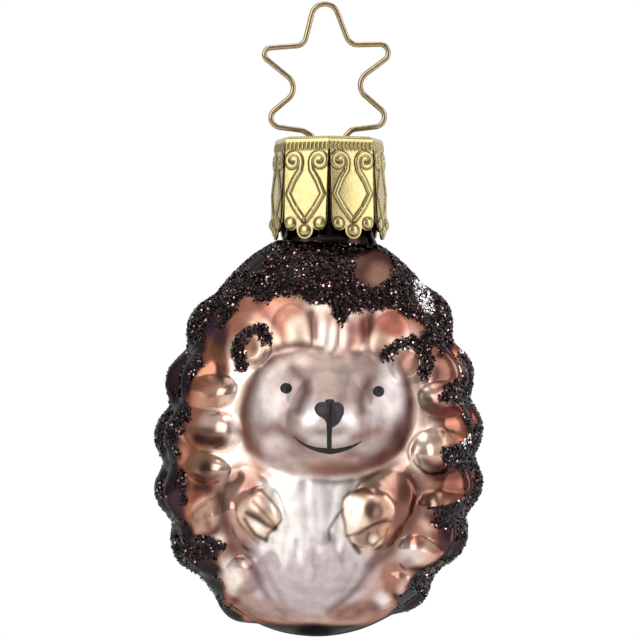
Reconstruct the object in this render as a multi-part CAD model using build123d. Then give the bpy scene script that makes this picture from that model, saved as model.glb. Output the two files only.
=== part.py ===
from build123d import *
import os
from math import atan, cos, degrees, radians, sin, sqrt

# Hanging glass ornament in the form of a sitting hedgehog, in millimetres.
# The origin is the hang point, under the top bend of the star. +Z is up and the animal faces -Y.
# Everything is modelled round the neck's axis and moved aside at the end. Azimuths turn from the
# front towards +X.
neck_side = 0.49

# Star hanger, one length of spring wire
wire_radius = 0.325
wire_sides = 6
star_half_width = 9.0
star_drop = 15.6
leg_spread = 1.95
leg_length = 15.4
leg_bend_radius = 0.5
leg_splay_bend_radius = 3.0
leg_clearance = 0.25
wire_travel = 3.0

# Corners of the star's wire from foot to foot: side as a share of its half width, height as
# a share of its drop, and bend radius as a share of its half width
star_corner_shares = [
    (-0.353, -0.938, 0.133),
    (-0.940, -0.893, 0.128),
    (-0.367, -0.613, 0.183),
    (-0.992, -0.319, 0.089),
    (-0.328, -0.291, 0.144),
    (-0.091, 0.262, 0.176),
    (0.273, -0.288, 0.154),
    (1.018, -0.279, 0.113),
    (0.303, -0.588, 0.189),
    (0.912, -0.892, 0.131),
    (0.300, -0.932, 0.133),
]

# Crown cap, stamped from one thin sheet. Its leaves carry a band that runs from a diamond
# up into two scrolls, and a pearl in each of their three lobes.
cap_wall = 0.3
cap_leaves = 7
cap_top_corner_radius = 6.6
cap_bottom_corner_radius = 7.3
cap_side_length = 11.1
cap_edge_fillet = 0.5
wire_hole_clearance = 0.08
slit_start = 0.9
slit_width = 0.75
lobe_radius = 0.95
lobe_spread = 1.9
centre_lobe_radius = 1.1
centre_lobe_drop = 1.0
pearl_radius = 0.7
pearl_height = 0.3
pearl_sides = 8
ridge_width = 0.5
ridge_height = 0.18
scroll_radius = 0.85
scroll_level = 2.9
scroll_spread = 1.75
scroll_steps = 7
scroll_shrink_share = 0.11
diamond_half_width = 2.4
diamond_level = 6.8
diamond_tip_level = 9.9

# Glass: neck, egg-shaped body and wall
glass_wall = 0.7
neck_radius = 5.2
neck_seat_gap = 0.1
lobe_overhang = 0.3
body_half_width = 18.6
body_half_depth = 15.6
body_rise = 27.8
body_fall = 20.9
body_lean = 2.6

# The forms that swell out of the egg. A side is a distance from the neck's axis, a lift is
# a height over the body's widest level, and a swell is how far the form stands out at its middle.

# Pointed spines in rows round the sides and back
spine_swell = 1.25
spine_half_width = 4.0
spine_power = 1.8
spine_pitch = 7.2
row_pitch = 6.9
row_climb = 1.2
lowest_row_lift = -16.9
row_front_gaps = (100, 62, 66, 66, 60, 84)

# Bulbous spines that border the face and belly. Each has its side and lift as shares of the body's
# half width and rise, and its half width, half height and tilt as shares of the bulb's.
bulb_half_width = 3.2
bulb_half_height = 2.4
bulb_swell = 1.7
bulb_tilt = 45
bulb_shares = [
    (-0.72, 0.31, 0.90, 0.85, -0.4),
    (-0.72, 0.15, 1.05, 1.00, 0.0),
    (-0.76, -0.01, 0.85, 0.80, 0.0),
    (-0.75, -0.23, 1.15, 0.95, -0.9),
    (-0.54, -0.46, 0.90, 1.00, -0.8),
    (0.74, 0.28, 1.05, 0.90, 0.2),
    (0.67, 0.06, 1.00, 1.20, 0.1),
    (0.71, -0.18, 1.00, 0.90, 0.2),
    (0.56, -0.38, 0.95, 1.00, 0.8),
    (0.46, -0.52, 0.80, 0.80, 0.9),
]

# Head, with muzzle, cheeks, eye sockets and nose
head_half_width = 10.9
head_half_height = 7.9
head_side = -0.4
head_lift = 6.4
head_swell = 3.6
muzzle_half_width = 4.9
muzzle_half_height = 5.2
muzzle_side = 0.0
muzzle_lift = 5.8
muzzle_swell = 1.5
cheek_half_width = 3.6
cheek_half_height = 2.9
cheek_spread = 3.6
cheek_lift = 4.0
cheek_swell = 0.7
socket_half_width = 1.6
socket_half_height = 2.6
socket_spread = 3.5
socket_lift = 8.7
socket_swell = -0.5
nose_half_width = 2.3
nose_half_height = 2.0
nose_lift = 6.7
nose_swell = 0.7

# Ears, one on each side of the head, with a hollow in each
ear_half_width = 2.5
ear_half_height = 2.7
ear_swell = 1.3
ear_hollow_share = 0.6
ear_hollow_swell = -1.1
left_ear_side = -9.2
left_ear_lift = 14.1
right_ear_side = 9.2
right_ear_lift = 12.1

# Fringe of broad soft spines that fan out over the forehead. Each has its side as a share of the
# head's half width, and its half width and swell as a share of the fringe's.
fringe_half_width = 2.1
fringe_half_height = 3.3
fringe_swell = 0.7
fringe_lift = 1.5
fringe_drop = 2.2
fringe_tilt = 18
fringe_shares = [
    (-0.80, 0.75),
    (-0.37, 1.20),
    (0.00, 0.75),
    (0.29, 0.80),
    (0.69, 1.15),
]

# Arms and paws
arm_half_width = 4.0
arm_half_height = 5.0
arm_side = -1.6
arm_spread = 7.9
arm_lift = -4.9
arm_swell = 1.6
arm_tilt = 14
paw_half_width = 2.9
paw_half_height = 3.7
paw_side = -1.8
paw_spread = 6.0
paw_lift = -5.6
paw_swell = 1.2
paw_tilt = 30

# Belly and feet
belly_half_width = 9.6
belly_half_height = 10.6
belly_side = -1.1
belly_lift = -8.3
belly_swell = 1.3
foot_half_width = 2.6
foot_half_height = 1.9
foot_side = -2.7
foot_spread = 4.7
foot_lift = -16.5
foot_swell = 0.6

# Facets of the glass: columns round it, closer over the face, and rows given as bands of
# the egg's own angle, from -90 at its foot up to the neck, each with its number of steps
face_reach = 56
face_columns = 32
back_columns = 44
row_bands = ((-90, 0, 21), (0, 33, 15), (33, 69, 12))
inner_columns = 36
inner_rows = 10

# How full a dome is: a half is a plain ellipsoid, and more makes its edge run out softer
dome_power = 1.1

overrun = 2.0

cap_top = -star_drop
cap_under = cap_top - cap_wall
neck_top = cap_under - neck_seat_gap
neck_foot = cap_top - cap_side_length - centre_lobe_drop + lobe_overhang
bore_radius = neck_radius - glass_wall
body_level = neck_foot - body_rise * sqrt(1 - (neck_radius / body_half_width) ** 2)
body_top = body_level + body_rise


def leg_corners(hand):
    """Corners of one leg, from the cap's hole down into the neck, as side and height."""
    hole_level = cap_top + leg_bend_radius / 2
    straight_end = cap_under - wire_travel - wire_radius
    splay = bore_radius - leg_clearance - wire_radius
    return [
        (hand * leg_spread, hole_level),
        (hand * leg_spread, straight_end),
        (hand * splay, cap_top - leg_length),
    ]


def make_star_hanger():
    """One wire: up from one leg, round the star and down the other leg."""
    star = [(side * star_half_width, height * star_drop) for side, height, bend in star_corner_shares]
    corners = [*reversed(leg_corners(-1)), *star, *leg_corners(1)]
    leg_radii = [leg_splay_bend_radius, leg_bend_radius]
    star_radii = [bend * star_half_width for side, height, bend in star_corner_shares]
    radii = [*leg_radii, *star_radii, *reversed(leg_radii)]
    path = FilletPolyline(*[(side, 0, height) for side, height in corners], radius=radii)
    section = Plane(origin=path @ 0, z_dir=path % 0) * RegularPolygon(wire_radius, wire_sides)
    return sweep(section, path=path)


def crown_shell(inset):
    """Many-sided cup with sides that flare a little, drawn in by inset, long enough for the lobes."""
    half_turn = radians(180 / cap_leaves)
    growth = (cap_bottom_corner_radius - cap_top_corner_radius) / cap_side_length
    full_length = cap_side_length + centre_lobe_drop
    bottom_radius = cap_top_corner_radius + growth * full_length - inset / cos(half_turn)
    flare = degrees(atan(growth * cos(half_turn)))
    rim = RegularPolygon(bottom_radius, cap_leaves, rotation=-90)
    return Pos(0, 0, cap_top - full_length) * extrude(rim, full_length - inset, taper=flare)


def leaf_plane(leaf):
    """Plane on the outer face of a leaf: X across it, Y up it, origin at its top edge."""
    half_turn = radians(180 / cap_leaves)
    azimuth = radians(360 / cap_leaves * (leaf + 1 / 2))
    outward = Vector(sin(azimuth), -cos(azimuth), 0)
    across = Vector(cos(azimuth), sin(azimuth), 0)
    flare = (cap_bottom_corner_radius - cap_top_corner_radius) * cos(half_turn)
    down = outward * flare - Vector(0, 0, cap_side_length)
    origin = outward * (cap_top_corner_radius * cos(half_turn)) + Vector(0, 0, cap_top)
    return Plane(origin=origin, x_dir=across, z_dir=across.cross(-down))


def slit_cutter(corner):
    """Wedge that parts two leaves and widens downwards."""
    reach = cap_bottom_corner_radius + overrun
    foot = cap_side_length + centre_lobe_drop + overrun
    half_width = slit_width / 2
    wedge = make_face(Polyline((0, -slit_start), (-half_width, -foot), (half_width, -foot), close=True))
    turn = Rot(0, 0, 360 / cap_leaves * corner)
    return turn * Pos(0, 0, cap_top) * extrude(Plane.XZ * wedge, reach)


def leaf_trim(plane):
    """What is cut away under the three lobes of a leaf."""
    lobe_level = lobe_radius - cap_side_length
    centre_level = centre_lobe_radius - cap_side_length - centre_lobe_drop
    waste = Pos(0, lobe_level - overrun) * Rectangle(2 * cap_bottom_corner_radius, 2 * overrun)
    waste -= Pos(0, lobe_level) * Rectangle(2 * lobe_spread, lobe_radius)
    for side in (-lobe_spread, lobe_spread):
        waste -= Pos(side, lobe_level) * Circle(lobe_radius)
    waste -= Pos(0, centre_level) * Circle(centre_lobe_radius)
    return extrude(plane * waste, 2 * cap_wall, both=True)


def leaf_band(hand):
    """Half of a leaf's raised band: up the diamond's side and round into a scroll that tightens."""
    points = [(0, -diamond_tip_level), (hand * diamond_half_width, -diamond_level)]
    for step in range(scroll_steps):
        angle = radians(180 - 45 * step)
        radius = scroll_radius * (1 - scroll_shrink_share * step)
        side = scroll_spread + radius * cos(angle)
        points.append((hand * side, radius * sin(angle) - scroll_level))
    return trace(Polyline(*points), ridge_width)


def leaf_relief(plane):
    """The raised band and the three pearls of a leaf, rooted in its wall."""
    root = plane.offset(-cap_wall / 2)
    band = leaf_band(-1) + leaf_band(1)
    lobe_level = lobe_radius - cap_side_length
    centre_level = centre_lobe_radius - cap_side_length - centre_lobe_drop
    relief = [extrude(root * band, cap_wall / 2 + ridge_height)]
    for side, level in ((-lobe_spread, lobe_level), (0, centre_level), (lobe_spread, lobe_level)):
        pearl = RegularPolygon(pearl_radius, pearl_sides)
        relief.append(extrude(root * Pos(side, level) * pearl, cap_wall / 2))
        relief.append(extrude(plane * Pos(side, level) * pearl, pearl_height, taper=45))
    return relief


def make_crown_cap():
    """Stamped cap: top disc with two wire holes, and leaves parted by slits."""
    outside = crown_shell(0)
    outside = fillet(outside.edges().group_by(Axis.Z)[-1], cap_edge_fillet)
    inside = crown_shell(cap_wall)
    cap = outside - inside - Pos(0, 0, -cap_wall) * inside
    relief = []
    for leaf in range(cap_leaves):
        plane = leaf_plane(leaf)
        cap -= slit_cutter(leaf)
        cap -= leaf_trim(plane)
        relief.extend(leaf_relief(plane))
    cap = cap.fuse(*relief)
    for side in (-leg_spread, leg_spread):
        cap -= Pos(side, 0, cap_top) * Cylinder(wire_radius + wire_hole_clearance, overrun)
    return cap


def leaned(point):
    """The body leans a little about the top of its egg, as free-hand blown glass does."""
    turn = radians(body_lean)
    rise = point.Z - body_top
    side = point.X * cos(turn) + rise * sin(turn)
    return Vector(side, point.Y, body_top - point.X * sin(turn) + rise * cos(turn))


def egg_point(azimuth, row_angle, inset=0):
    """A point of the upright egg and the direction that is outward there."""
    reach = (body_rise if row_angle > 0 else body_fall) - inset
    half_width = body_half_width - inset
    half_depth = body_half_depth - inset
    turn = radians(azimuth)
    level = radians(row_angle)
    girth = cos(level)
    point = Vector(half_width * girth * sin(turn), -half_depth * girth * cos(turn), reach * sin(level))
    outward = Vector(point.X / half_width**2, point.Y / half_depth**2, point.Z / reach**2).normalized()
    return point + Vector(0, 0, body_level), outward


def spine_centres():
    """Places on the egg of the pointed spines, row by row from the bottom."""
    centres = []
    for row, front_gap in enumerate(row_front_gaps):
        lift = lowest_row_lift + row * row_pitch
        reach = body_rise if lift > 0 else body_fall
        row_radius = body_half_width * sqrt(1 - (lift / reach) ** 2)
        arc = 360 - 2 * front_gap
        steps = round(radians(arc) * row_radius / spine_pitch)
        for step in range(steps + 1):
            turn = radians(front_gap + arc * step / steps)
            climbed = lift + row_climb * sin(turn)
            share = sqrt(1 - (climbed / reach) ** 2)
            side = body_half_width * share * sin(turn)
            centres.append(Vector(side, -body_half_depth * share * cos(turn), body_level + climbed))
    return centres


def front_forms():
    """Forms of the front: side, lift, half width, half height, swell and tilt of each."""
    forms = [
        (head_side, head_lift, head_half_width, head_half_height, head_swell, 0),
        (muzzle_side, muzzle_lift, muzzle_half_width, muzzle_half_height, muzzle_swell, 0),
        (muzzle_side, nose_lift, nose_half_width, nose_half_height, nose_swell, 0),
        (belly_side, belly_lift, belly_half_width, belly_half_height, belly_swell, 0),
    ]
    for side, lift in ((left_ear_side, left_ear_lift), (right_ear_side, right_ear_lift)):
        hollow_width = ear_half_width * ear_hollow_share
        hollow_height = ear_half_height * ear_hollow_share
        forms.append((side, lift, ear_half_width, ear_half_height, ear_swell, 0))
        forms.append((side, lift, hollow_width, hollow_height, ear_hollow_swell, 0))
    for share, width_share in fringe_shares:
        side = head_side + share * head_half_width
        lift = head_lift + head_half_height + fringe_lift - fringe_drop * share**2
        half_width = width_share * fringe_half_width
        swell = width_share * fringe_swell
        forms.append((side, lift, half_width, fringe_half_height, swell, share * fringe_tilt))
    for hand in (-1, 1):
        cheek = muzzle_side + hand * cheek_spread
        socket = muzzle_side + hand * socket_spread
        arm = arm_side + hand * arm_spread
        paw = paw_side + hand * paw_spread
        foot = foot_side + hand * foot_spread
        forms.append((cheek, cheek_lift, cheek_half_width, cheek_half_height, cheek_swell, 0))
        forms.append((socket, socket_lift, socket_half_width, socket_half_height, socket_swell, 0))
        forms.append((arm, arm_lift, arm_half_width, arm_half_height, arm_swell, hand * arm_tilt))
        forms.append((paw, paw_lift, paw_half_width, paw_half_height, paw_swell, hand * paw_tilt))
        forms.append((foot, foot_lift, foot_half_width, foot_half_height, foot_swell, 0))
    for side_share, lift_share, width_share, height_share, tilt_share in bulb_shares:
        half_width = width_share * bulb_half_width
        half_height = height_share * bulb_half_height
        swell = height_share * bulb_swell
        place = (side_share * body_half_width, lift_share * body_rise)
        forms.append((*place, half_width, half_height, swell, tilt_share * bulb_tilt))
    return forms


def dome(distance_share, power=dome_power):
    """Rounded dome: 1 at its middle and 0 from its edge on."""
    return max(0, 1 - distance_share**2) ** power


def front_swell(point):
    """How far the front forms stand out towards the viewer at a point of the leaned egg."""
    if point.Y > 0:
        return 0
    total = 0
    for side, lift, half_width, half_height, swell, tilt in FRONT_FORMS:
        across = point.X - side
        up = point.Z - body_level - lift
        turn = radians(tilt)
        along_width = (across * cos(turn) - up * sin(turn)) / half_width
        along_height = (across * sin(turn) + up * cos(turn)) / half_height
        total += swell * dome(sqrt(along_width**2 + along_height**2))
    return total


def spine_rise(point):
    """How far the pointed spines stand out at a point of the upright egg."""
    nearest = min((point - centre).length for centre in SPINE_CENTRES)
    return spine_swell * dome(nearest / spine_half_width, spine_power)


def skin_point(azimuth, row_angle):
    """A point of the glass's outer skin."""
    point, outward = egg_point(azimuth, row_angle)
    swollen = leaned(point + outward * spine_rise(point))
    return swollen - Vector(0, front_swell(leaned(point)), 0)


def column_azimuths():
    """Azimuths of the outer columns, closer together over the face."""
    front = [face_reach * (2 * step / face_columns - 1) for step in range(face_columns)]
    back_arc = 360 - 2 * face_reach
    return front + [face_reach + back_arc * step / back_columns for step in range(back_columns)]


def ring(radius, level, azimuths):
    """Corners of a level polygon round the neck's axis."""
    return [Vector(radius * sin(radians(a)), -radius * cos(radians(a)), level) for a in azimuths]


def skin_between(lower, upper):
    """Faces between two rings, in triangles, or from a single point to a ring."""
    faces = []
    count = max(len(lower), len(upper))
    for this in range(count):
        following = (this + 1) % count
        if len(lower) == 1:
            faces.append(Face(Wire.make_polygon([lower[0], upper[this], upper[following]])))
            continue
        faces.append(Face(Wire.make_polygon([lower[this], lower[following], upper[following]])))
        faces.append(Face(Wire.make_polygon([lower[this], upper[following], upper[this]])))
    return faces


def make_glass_body():
    """Hollow blown glass with an open neck, faceted like a cut model."""
    azimuths = column_azimuths()
    row_angles = [
        low + (high - low) * step / steps
        for low, high, steps in row_bands
        for step in range(1, steps + 1)
    ]
    outer = [[skin_point(0, -90)]]
    outer += [[skin_point(azimuth, angle) for azimuth in azimuths] for angle in row_angles]
    outer.append(ring(neck_radius, neck_foot, azimuths))
    outer.append(ring(neck_radius, neck_top, azimuths))

    inner_azimuths = [360 * column / inner_columns for column in range(inner_columns)]
    bore_angle = degrees(atan(sqrt(((body_half_width - glass_wall) / bore_radius) ** 2 - 1)))
    inner_angles = [-90 + (bore_angle + 90) * row / inner_rows for row in range(1, inner_rows)]
    inner = [[leaned(egg_point(0, -90, glass_wall)[0])]]
    for angle in inner_angles:
        inner.append([leaned(egg_point(azimuth, angle, glass_wall)[0]) for azimuth in inner_azimuths])
    inner.append(ring(bore_radius, neck_foot - glass_wall, inner_azimuths))
    inner.append(ring(bore_radius, neck_top, inner_azimuths))

    faces = []
    for wall in (outer, inner):
        for lower, upper in zip(wall, wall[1:]):
            faces.extend(skin_between(lower, upper))
    rim = Wire.make_polygon(outer[-1])
    mouth = Wire.make_polygon(inner[-1])
    faces.append(Face(rim, [mouth]))
    return Solid(Shell(faces))


SPINE_CENTRES = spine_centres()
FRONT_FORMS = front_forms()

os.makedirs("parts", exist_ok=True)
nodes = {
    "star_hanger": make_star_hanger(),
    "crown_cap": make_crown_cap(),
    "glass_body": make_glass_body(),
}
for name, node in nodes.items():
    export_step(Pos(neck_side, 0, 0) * node, f"parts/{name}.step")
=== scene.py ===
from functools import cache
from math import cos, pi, radians, sin, sqrt, tan

import bpy
import numpy as np
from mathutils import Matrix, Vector
from mathutils.bvhtree import BVHTree


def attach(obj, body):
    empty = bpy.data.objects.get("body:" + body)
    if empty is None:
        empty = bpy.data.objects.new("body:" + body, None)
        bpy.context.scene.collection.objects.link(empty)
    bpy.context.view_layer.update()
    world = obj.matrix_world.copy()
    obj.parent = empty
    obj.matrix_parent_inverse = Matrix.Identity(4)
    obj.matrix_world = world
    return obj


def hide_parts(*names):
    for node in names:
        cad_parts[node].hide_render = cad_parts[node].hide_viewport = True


# Dressed model of a hanging blown-glass hedgehog. Sizes are in millimetres up to the mesh maker,
# which writes metres. The origin is the hang point, +Z is up and the animal faces -Y.
MILLIMETRE = 0.001
rng = np.random.default_rng(11)

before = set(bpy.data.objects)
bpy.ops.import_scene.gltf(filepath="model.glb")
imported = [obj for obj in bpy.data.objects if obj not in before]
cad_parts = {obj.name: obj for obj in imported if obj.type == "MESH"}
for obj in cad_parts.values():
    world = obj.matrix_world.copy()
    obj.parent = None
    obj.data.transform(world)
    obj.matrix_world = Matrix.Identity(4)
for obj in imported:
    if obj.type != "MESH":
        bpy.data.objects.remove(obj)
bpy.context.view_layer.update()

# The camera of the photograph: level, straight in front, with 8.42 pixels per millimetre at y = 0
camera_side = -0.58
camera_level = -37.16
camera_distance = 380.0
picture_scale = 8.42
picture_middle = 320.0

# Wire and cap sizes, as in the solids
neck_side = 0.49
wire_radius = 0.325
star_half_width = 9.0
star_drop = 15.6
leg_spread = 1.95
leg_length = 15.4
leg_bend_radius = 0.5
leg_splay_bend_radius = 3.0
leg_clearance = 0.25
wire_travel = 3.0
star_corner_shares = [
    (-0.353, -0.938, 0.133),
    (-0.940, -0.893, 0.128),
    (-0.367, -0.613, 0.183),
    (-0.992, -0.319, 0.089),
    (-0.328, -0.291, 0.144),
    (-0.091, 0.262, 0.176),
    (0.273, -0.288, 0.154),
    (1.018, -0.279, 0.113),
    (0.303, -0.588, 0.189),
    (0.912, -0.892, 0.131),
    (0.300, -0.932, 0.133),
]
cap_wall = 0.3
cap_leaves = 7
cap_top_corner_radius = 6.6
cap_bottom_corner_radius = 7.3
cap_side_length = 11.1
cap_rim_radius = 0.55
slit_start = 0.9
lobe_radius = 0.95
lobe_spread = 1.9
centre_lobe_radius = 1.1
centre_lobe_drop = 1.0
cap_top = -star_drop
cap_under = cap_top - cap_wall

# Glass sizes, as in the solid
glass_wall = 0.7
neck_radius = 5.2
lobe_overhang = 0.3
neck_seat_gap = 0.1
body_half_width = 18.6
body_half_depth = 15.6
body_rise = 27.8
body_fall = 20.9
body_lean = 2.6
neck_top = cap_under - neck_seat_gap
neck_foot = cap_top - cap_side_length - centre_lobe_drop + lobe_overhang
bore_radius = neck_radius - glass_wall
body_level = neck_foot - body_rise * sqrt(1 - (neck_radius / body_half_width) ** 2)
body_top = body_level + body_rise
dome_power = 1.1
spine_swell = 1.25
spine_half_width = 4.0
spine_power = 1.8
spine_pitch = 7.2
row_pitch = 6.9
row_climb = 1.2
lowest_row_lift = -16.9
row_front_gaps = (100, 62, 66, 66, 60, 84)
bulb_half_width = 3.2
bulb_half_height = 2.4
bulb_swell = 1.7
bulb_tilt = 45
bulb_shares = [
    (-0.72, 0.31, 0.90, 0.85, -0.4),
    (-0.72, 0.15, 1.05, 1.00, 0.0),
    (-0.76, -0.01, 0.85, 0.80, 0.0),
    (-0.75, -0.23, 1.15, 0.95, -0.9),
    (-0.54, -0.46, 0.90, 1.00, -0.8),
    (0.74, 0.28, 1.05, 0.90, 0.2),
    (0.67, 0.06, 1.00, 1.20, 0.1),
    (0.71, -0.18, 1.00, 0.90, 0.2),
    (0.56, -0.38, 0.95, 1.00, 0.8),
    (0.46, -0.52, 0.80, 0.80, 0.9),
]
# Side, lift, half width, half height, swell and tilt of the front's forms: head, muzzle, nose and
# belly, then each ear and its hollow
front_forms = [
    (-0.4, 6.4, 10.9, 7.9, 3.6, 0),
    (0.0, 5.8, 4.9, 5.2, 1.5, 0),
    (0.0, 6.7, 2.3, 2.0, 0.7, 0),
    (-1.1, -8.3, 9.6, 10.6, 1.3, 0),
    (-9.2, 14.1, 2.5, 2.7, 1.3, 0),
    (-9.2, 14.1, 1.5, 1.62, -1.1, 0),
    (9.2, 12.1, 2.5, 2.7, 1.3, 0),
    (9.2, 12.1, 1.5, 1.62, -1.1, 0),
]
# Fringe: each spine's side as a share of the head's half width, and its size as a share
head_side = -0.4
head_half_width = 10.9
fringe_half_width = 2.1
fringe_half_height = 3.3
fringe_swell = 0.7
fringe_top = 15.8
fringe_drop = 2.2
fringe_tilt = 18
for share, width in ((-0.80, 0.75), (-0.37, 1.20), (0.00, 0.75), (0.29, 0.80), (0.69, 1.15)):
    front_forms.append((
        head_side + share * head_half_width,
        fringe_top - fringe_drop * share**2,
        fringe_half_width * width,
        fringe_half_height,
        fringe_swell * width,
        share * fringe_tilt,
    ))
# Middle, spread, lift, half width, half height, swell and tilt of the forms that come in pairs:
# cheeks, eye sockets, arms, paws and feet
paired_forms = [
    (0.0, 3.6, 4.0, 3.6, 2.9, 0.7, 0),
    (0.0, 3.5, 8.7, 1.6, 2.6, -0.5, 0),
    (-1.6, 7.9, -4.9, 4.0, 5.0, 1.6, 14),
    (-1.8, 6.0, -5.6, 2.9, 3.7, 1.2, 30),
    (-2.7, 4.7, -16.5, 2.6, 1.9, 0.6, 0),
]
for hand in (-1, 1):
    for middle, spread, lift, half_width, half_height, swell, tilt in paired_forms:
        front_forms.append((middle + hand * spread, lift, half_width, half_height, swell, hand * tilt))
bulb_forms = []
for side, lift, width, height, tilt in bulb_shares:
    bulb_forms.append((
        side * body_half_width,
        lift * body_rise,
        width * bulb_half_width,
        height * bulb_half_height,
        height * bulb_swell,
        tilt * bulb_tilt,
    ))

# The dressed skin starts this far inside the solid's, to leave room for relief and glitter
skin_inset = 0.26

# Steps of the skin: columns round it, closer over the front, and rows from its foot up
front_turn = 75
front_columns = 230
back_columns = 130
foot_angle = -89.5
foot_rows = 40
foot_rows_end = -50
neck_angle = 71
upper_rows = 200
inner_rows = 24

# Glitter flakes: reach of a corner, spread of the lean, and height over the skin
flake_count = 46000
flake_sizes = (0.11, 0.2)
flake_lean = 0.36
flake_lifts = (0.02, 0.11)
flake_corner_turns = (0.3, 1.8, 3.5, 4.9)

# Cap's stamped ornament: rounded bands, dots in the scrolls, pearls and flutes
band_half_width = 0.3
band_height = 0.2
scroll_side = 1.72
scroll_level = 2.95
scroll_radius = 1.12
scroll_shrink = 0.034
dot_radius = 0.2
dot_height = 0.16
pearl_radius = 0.68
pearl_height = 0.34
side_pearl_level = 10.25
centre_pearl_level = 11.1
flute_level = 1.2
flute_pitch = 0.52
flute_height = 0.09
leaf_bulge = 0.16
diamond_points = ((0.12, 9.9), (1.3, 8.4), (2.25, 6.8), (1.55, 5.2), (0.75, 4.0), (0.62, 3.2))


# Meshes

def placed(name, data):
    """A new object in the scene."""
    piece = bpy.data.objects.new(name, data)
    bpy.context.scene.collection.objects.link(piece)
    return piece


def add_mesh(name, points, faces, body, material, replaced=()):
    """One piece from points in millimetres; it rides on a body and may stand for solids."""
    mesh = bpy.data.meshes.new(name)
    mesh.from_pydata([tuple(p) for p in np.asarray(points) * MILLIMETRE], [], [tuple(f) for f in faces])
    mesh.validate()
    mesh.shade_smooth()
    piece = placed(name, mesh)
    mesh.materials.append(material)
    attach(piece, body)
    if replaced:
        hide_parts(*replaced)
    return piece


def add_colours(piece, name, colours):
    """Colours of a piece's points, as red, green, blue and a fourth value."""
    layer = piece.data.color_attributes.new(name, "FLOAT_COLOR", "POINT")
    layer.data.foreach_set("color", np.asarray(colours, dtype=np.float32).ravel())


def add_values(piece, name, values):
    layer = piece.data.attributes.new(name, "FLOAT", "POINT")
    layer.data.foreach_set("value", np.asarray(values, dtype=np.float32))


def grid_faces(rows, columns, start=0, closed=True):
    """Four-sided faces of a grid of points that are numbered row by row."""
    last = columns if closed else columns - 1
    row, column = np.meshgrid(np.arange(rows - 1), np.arange(last), indexing="ij")
    following = (column + 1) % columns
    near = start + row * columns
    far = near + columns
    quads = np.stack([near + column, near + following, far + following, far + column], axis=-1)
    return quads.reshape(-1, 4).tolist()


def linear(red, green, blue):
    """A screen colour, 0 to 255, as the linear colour that the shaders use."""
    screen = np.array([red, green, blue]) / 255
    return np.where(screen <= 0.04045, screen / 12.92, ((screen + 0.055) / 1.055) ** 2.4)


# Glass skin

def egg(azimuth, row_angle, inset=0):
    """Points on the upright egg, in rows of azimuths, and the directions that are outward there."""
    turn, level = np.meshgrid(np.radians(azimuth), np.radians(row_angle))
    turn = turn.ravel()
    level = level.ravel()
    reach = np.where(level > 0, body_rise, body_fall) - inset
    half_width = body_half_width - inset
    half_depth = body_half_depth - inset
    x = half_width * np.cos(level) * np.sin(turn)
    y = -half_depth * np.cos(level) * np.cos(turn)
    z = reach * np.sin(level)
    outward = np.stack([x / half_width**2, y / half_depth**2, z / reach**2], axis=1)
    outward /= np.linalg.norm(outward, axis=1, keepdims=True)
    return np.stack([x, y, z + body_level], axis=1), outward


def leaned(points):
    turn = radians(body_lean)
    rise = points[:, 2] - body_top
    side = points[:, 0] * cos(turn) + rise * sin(turn)
    level = body_top - points[:, 0] * sin(turn) + rise * cos(turn)
    return np.stack([side, points[:, 1], level], axis=1)


def spine_centres():
    """Places of the pointed spines on the egg."""
    centres = []
    for row, front_gap in enumerate(row_front_gaps):
        lift = lowest_row_lift + row * row_pitch
        reach = body_rise if lift > 0 else body_fall
        row_radius = body_half_width * sqrt(1 - (lift / reach) ** 2)
        arc = 360 - 2 * front_gap
        steps = round(radians(arc) * row_radius / spine_pitch)
        for step in range(steps + 1):
            turn = radians(front_gap + arc * step / steps)
            climbed = lift + row_climb * sin(turn)
            share = sqrt(1 - (climbed / reach) ** 2)
            side = body_half_width * share * sin(turn)
            centres.append((side, -body_half_depth * share * cos(turn), body_level + climbed))
    return np.array(centres)


def dome(distance_share, power=dome_power):
    return np.clip(1 - distance_share**2, 0, None) ** power


def nearest_distance(points, centres):
    nearest = np.full(len(points), np.inf)
    for centre in centres:
        nearest = np.minimum(nearest, np.linalg.norm(points - centre, axis=1))
    return nearest


def in_form(points, form):
    """Where points lie in a form of the front, as shares of its half width and half height."""
    side, lift, half_width, half_height, _, tilt = form
    across = points[:, 0] - side
    up = points[:, 2] - body_level - lift
    turn = radians(tilt)
    along_width = (across * cos(turn) - up * sin(turn)) / half_width
    along_height = (across * sin(turn) + up * cos(turn)) / half_height
    return along_width, along_height


def front_swell(points, forms):
    """How far forms of the front stand out at points of the leaned egg."""
    total = np.zeros(len(points))
    for form in forms:
        swell = form[4]
        total += swell * dome(np.hypot(*in_form(points, form)))
    return np.where(points[:, 1] > 0, 0, total)


def picture_place(points):
    """Where the photograph's camera sees a point: pixels across and down."""
    scale = picture_scale * camera_distance / (camera_distance + points[:, 1])
    across = picture_middle + scale * (points[:, 0] - camera_side)
    down = picture_middle - scale * (points[:, 2] - camera_level)
    return across, down


def normals_of(points, faces):
    """Outward directions of the points of a mesh of four-sided faces."""
    quads = np.array(faces)
    first = points[quads[:, 2]] - points[quads[:, 0]]
    second = points[quads[:, 3]] - points[quads[:, 1]]
    face_normals = np.cross(first, second)
    total = np.zeros_like(points)
    for corner in range(4):
        np.add.at(total, quads[:, corner], face_normals)
    return total / np.maximum(np.linalg.norm(total, axis=1, keepdims=True), 1e-12)


# Shapes on the front, in pixels of the photograph

def step_down(distance, soft):
    """1 inside, 0 outside and a smooth change within soft pixels of the edge."""
    share = np.clip(0.5 - distance / (2 * soft), 0, 1)
    return share * share * (3 - 2 * share)


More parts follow.
